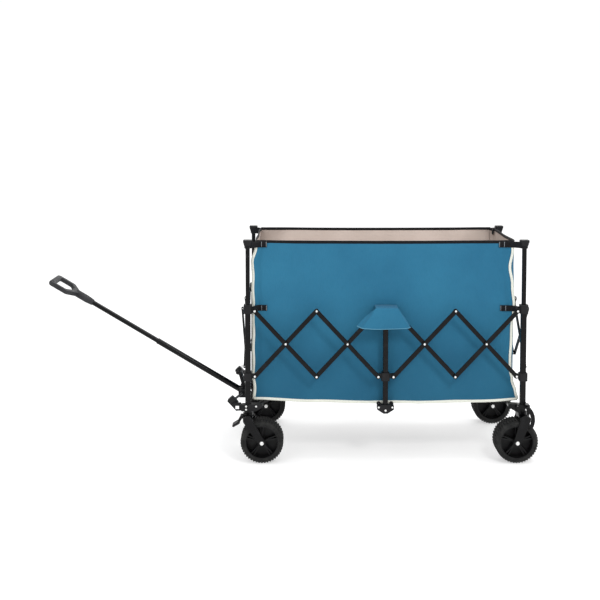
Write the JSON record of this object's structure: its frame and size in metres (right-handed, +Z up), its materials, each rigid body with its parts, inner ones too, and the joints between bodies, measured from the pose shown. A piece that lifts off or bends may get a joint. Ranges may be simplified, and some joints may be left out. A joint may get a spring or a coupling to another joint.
{
  "type": "folding utility wagon",
  "caption": "Folding utility wagon: fabric tub in a crossed-arm steel frame, wide wheels, swivel front casters and a telescoping pull handle.",
  "frame": {"origin": "on the floor, midway between the two centre posts", "axes": "+X to the rear of the wagon, -X to the handle, +Y to the wagon's right-hand side, +Z up"},
  "size_m": [2.1939, 0.7296, 0.979],
  "materials": {
    "frame_paint": "semi-gloss black powder coat",
    "moulded_black": "fine-grained black nylon",
    "bright_steel": "bright zinc",
    "tub_fabric": "blue coated polyester weave with a beige lining",
    "floor_pad": "beige quilted polyester",
    "tyre": "matt black ribbed foam rubber",
    "rim": "black moulded plastic",
    "grip": "dark grey soft-touch plastic"
  },
  "bodies": {
    "centre_frame": {"centre_posts": "frame_paint", "centre_brackets": "moulded_black", "centre_fasteners": "bright_steel", "side_panel_left": "tub_fabric", "side_panel_right": "tub_fabric"},
    "centre_slider": {"centre_sliders": "moulded_black"},
    "front_inner_falling": {"front_inner_arm_falling": "frame_paint", "front_inner_rivets": "bright_steel"},
    "front_inner_rising": {"front_inner_arm_rising": "frame_paint"},
    "front_outer_rising": {"front_outer_arm_rising": "frame_paint"},
    "front_outer_falling": {"front_outer_arm_falling": "frame_paint", "front_outer_rivets": "bright_steel"},
    "front_slider": {"front_sliders": "moulded_black"},
    "front_base_outer": {"front_base_frame_outer": "frame_paint", "front_floor_pad_outer": "floor_pad"},
    "front_base_inner": {"front_base_frame_inner": "frame_paint", "front_floor_pad_inner": "floor_pad"},
    "rear_inner_falling": {"rear_inner_arm_falling": "frame_paint", "rear_inner_rivets": "bright_steel"},
    "rear_inner_rising": {"rear_inner_arm_rising": "frame_paint"},
    "rear_outer_rising": {"rear_outer_arm_rising": "frame_paint"},
    "rear_outer_falling": {"rear_outer_arm_falling": "frame_paint", "rear_outer_rivets": "bright_steel"},
    "rear_slider": {"rear_sliders": "moulded_black"},
    "rear_base_outer": {"rear_base_frame_outer": "frame_paint", "rear_floor_pad_outer": "floor_pad"},
    "rear_base_inner": {"rear_base_frame_inner": "frame_paint", "rear_floor_pad_inner": "floor_pad"},
    "front_frame": {"front_posts": "frame_paint", "front_post_caps": "moulded_black", "front_brackets": "moulded_black", "front_end_arms": "frame_paint", "front_feet": "moulded_black", "front_fasteners": "bright_steel", "draw_linkage": "moulded_black", "front_panel": "tub_fabric"},
    "rear_frame": {"rear_posts": "frame_paint", "rear_post_caps": "moulded_black", "rear_brackets": "moulded_black", "rear_end_arms": "frame_paint", "rear_wheel_forks": "frame_paint", "rear_fasteners": "bright_steel", "rear_panel": "tub_fabric"},
    "caster_left": {"caster_fork_left": "frame_paint", "front_axle_left": "bright_steel"},
    "pedal_left": {"brake_pedal_left": "moulded_black"},
    "front_wheel_left": {"front_tyre_left": "tyre", "front_rim_left": "rim"},
    "rear_wheel_left": {"rear_tyre_left": "tyre", "rear_rim_left": "rim"},
    "caster_right": {"caster_fork_right": "frame_paint", "front_axle_right": "bright_steel"},
    "pedal_right": {"brake_pedal_right": "moulded_black"},
    "front_wheel_right": {"front_tyre_right": "tyre", "front_rim_right": "rim"},
    "rear_wheel_right": {"rear_tyre_right": "tyre", "rear_rim_right": "rim"},
    "handle_lower": {"handle_lower_tube": "frame_paint"},
    "handle_upper": {"handle_upper_tube": "frame_paint", "handle_grip": "grip"}
  },
  "joints": [
    {"name": "frame_fold", "type": "hinge", "parent": "centre_frame", "child": "front_inner_falling", "pos_m": [-0.033, 0, 0.67], "axis": [0, -1, 0], "range_deg": [0, 33], "deforming": ["side_panel_left", "side_panel_right", "front_floor_pad_outer", "front_floor_pad_inner", "rear_floor_pad_outer", "rear_floor_pad_inner"]},
    {"name": "front_inner_rising_turn", "type": "hinge", "parent": "front_inner_falling", "child": "front_inner_rising", "pos_m": [-0.168, 0, 0.525], "axis": [0, 1, 0], "range_deg": [0, 66.05]},
    {"name": "front_outer_rising_turn", "type": "hinge", "parent": "front_inner_falling", "child": "front_outer_rising", "pos_m": [-0.303, 0, 0.38], "axis": [0, 1, 0], "range_deg": [0, 66.05]},
    {"name": "front_outer_falling_turn", "type": "hinge", "parent": "front_inner_rising", "child": "front_outer_falling", "pos_m": [-0.303, 0, 0.67], "axis": [0, 1, 0], "range_deg": [-66.05, 0]},
    {"name": "front_frame_turn", "type": "hinge", "parent": "front_outer_rising", "child": "front_frame", "pos_m": [-0.573, 0, 0.67], "axis": [0, 1, 0], "range_deg": [-33.05, 0]},
    {"name": "front_slider_turn", "type": "hinge", "parent": "front_outer_falling", "child": "front_slider", "pos_m": [-0.573, 0, 0.38], "axis": [0, 1, 0], "range_deg": [0, 33.05]},
    {"name": "centre_slider_turn", "type": "hinge", "parent": "front_inner_rising", "child": "centre_slider", "pos_m": [-0.033, 0, 0.38], "axis": [0, 1, 0], "range_deg": [-33.05, 0]},
    {"name": "front_base_outer_turn", "type": "hinge", "parent": "front_frame", "child": "front_base_outer", "pos_m": [-0.548, 0, 0.25], "axis": [0, 1, 0], "range_deg": [-77.05, 0]},
    {"name": "front_base_inner_turn", "type": "hinge", "parent": "centre_frame", "child": "front_base_inner", "pos_m": [-0.028, 0, 0.25], "axis": [0, 1, 0], "range_deg": [0, 77.05]},
    {"name": "rear_inner_falling_turn", "type": "hinge", "parent": "centre_frame", "child": "rear_inner_falling", "pos_m": [0.033, 0, 0.67], "axis": [0, 1, 0], "range_deg": [0, 33.05]},
    {"name": "rear_inner_rising_turn", "type": "hinge", "parent": "rear_inner_falling", "child": "rear_inner_rising", "pos_m": [0.168, 0, 0.525], "axis": [0, 1, 0], "range_deg": [-66.05, 0]},
    {"name": "rear_outer_rising_turn", "type": "hinge", "parent": "rear_inner_falling", "child": "rear_outer_rising", "pos_m": [0.303, 0, 0.38], "axis": [0, 1, 0], "range_deg": [-66.05, 0]},
    {"name": "rear_outer_falling_turn", "type": "hinge", "parent": "rear_inner_rising", "child": "rear_outer_falling", "pos_m": [0.303, 0, 0.67], "axis": [0, 1, 0], "range_deg": [0, 66.05]},
    {"name": "rear_frame_turn", "type": "hinge", "parent": "rear_outer_rising", "child": "rear_frame", "pos_m": [0.573, 0, 0.67], "axis": [0, 1, 0], "range_deg": [0, 33.05]},
    {"name": "rear_slider_turn", "type": "hinge", "parent": "rear_outer_falling", "child": "rear_slider", "pos_m": [0.573, 0, 0.38], "axis": [0, 1, 0], "range_deg": [-33.05, 0]},
    {"name": "rear_base_outer_turn", "type": "hinge", "parent": "rear_frame", "child": "rear_base_outer", "pos_m": [0.548, 0, 0.25], "axis": [0, 1, 0], "range_deg": [0, 77.05]},
    {"name": "rear_base_inner_turn", "type": "hinge", "parent": "centre_frame", "child": "rear_base_inner", "pos_m": [0.028, 0, 0.25], "axis": [0, 1, 0], "range_deg": [-77.05, 0]},
    {"name": "caster_swivel_left", "type": "hinge", "parent": "front_frame", "child": "caster_left", "pos_m": [-0.604, -0.301, 0.22], "axis": [0, 0, 1], "continuous": true},
    {"name": "brake_left", "type": "hinge", "parent": "caster_left", "child": "pedal_left", "pos_m": [-0.632, -0.301, 0.199], "axis": [0, -1, 0], "range_deg": [0, 12]},
    {"name": "front_wheel_spin_left", "type": "hinge", "parent": "caster_left", "child": "front_wheel_left", "pos_m": [-0.542, -0.301, 0.094], "axis": [0, 1, 0], "continuous": true},
    {"name": "rear_wheel_spin_left", "type": "hinge", "parent": "rear_frame", "child": "rear_wheel_left", "pos_m": [0.573, -0.301, 0.094], "axis": [0, 1, 0], "continuous": true},
    {"name": "caster_swivel_right", "type": "hinge", "parent": "front_frame", "child": "caster_right", "pos_m": [-0.604, 0.301, 0.22], "axis": [0, 0, 1], "continuous": true},
    {"name": "brake_right", "type": "hinge", "parent": "caster_right", "child": "pedal_right", "pos_m": [-0.632, 0.301, 0.199], "axis": [0, -1, 0], "range_deg": [0, 12]},
    {"name": "front_wheel_spin_right", "type": "hinge", "parent": "caster_right", "child": "front_wheel_right", "pos_m": [-0.542, 0.301, 0.094], "axis": [0, 1, 0], "continuous": true},
    {"name": "rear_wheel_spin_right", "type": "hinge", "parent": "rear_frame", "child": "rear_wheel_right", "pos_m": [0.573, 0.301, 0.094], "axis": [0, 1, 0], "continuous": true},
    {"name": "handle_pitch", "type": "hinge", "parent": "front_frame", "child": "handle_lower", "pos_m": [-0.643, 0, 0.233], "axis": [0, 1, 0], "range_deg": [-42, 44]},
    {"name": "handle_extend", "type": "slide", "parent": "handle_lower", "child": "handle_upper", "axis": [-0.8581, 0, 0.5135], "range_m": [-0.345, 0]}
  ],
  "couplings": [
    {"joint": "front_inner_rising_turn", "follows": "frame_fold", "ratio": 2},
    {"joint": "front_outer_rising_turn", "follows": "frame_fold", "ratio": 2},
    {"joint": "front_outer_falling_turn", "follows": "frame_fold", "ratio": -2},
    {"joint": "front_frame_turn", "follows": "frame_fold", "ratio": -1},
    {"joint": "front_slider_turn", "follows": "frame_fold", "ratio": 1},
    {"joint": "centre_slider_turn", "follows": "frame_fold", "ratio": -1},
    {"joint": "front_base_outer_turn", "follows": "frame_fold", "ratio": -2.3333},
    {"joint": "front_base_inner_turn", "follows": "frame_fold", "ratio": 2.3333},
    {"joint": "rear_inner_falling_turn", "follows": "frame_fold", "ratio": 1},
    {"joint": "rear_inner_rising_turn", "follows": "frame_fold", "ratio": -2},
    {"joint": "rear_outer_rising_turn", "follows": "frame_fold", "ratio": -2},
    {"joint": "rear_outer_falling_turn", "follows": "frame_fold", "ratio": 2},
    {"joint": "rear_frame_turn", "follows": "frame_fold", "ratio": 1},
    {"joint": "rear_slider_turn", "follows": "frame_fold", "ratio": -1},
    {"joint": "rear_base_outer_turn", "follows": "frame_fold", "ratio": 2.3333},
    {"joint": "rear_base_inner_turn", "follows": "frame_fold", "ratio": -2.3333}
  ]
}
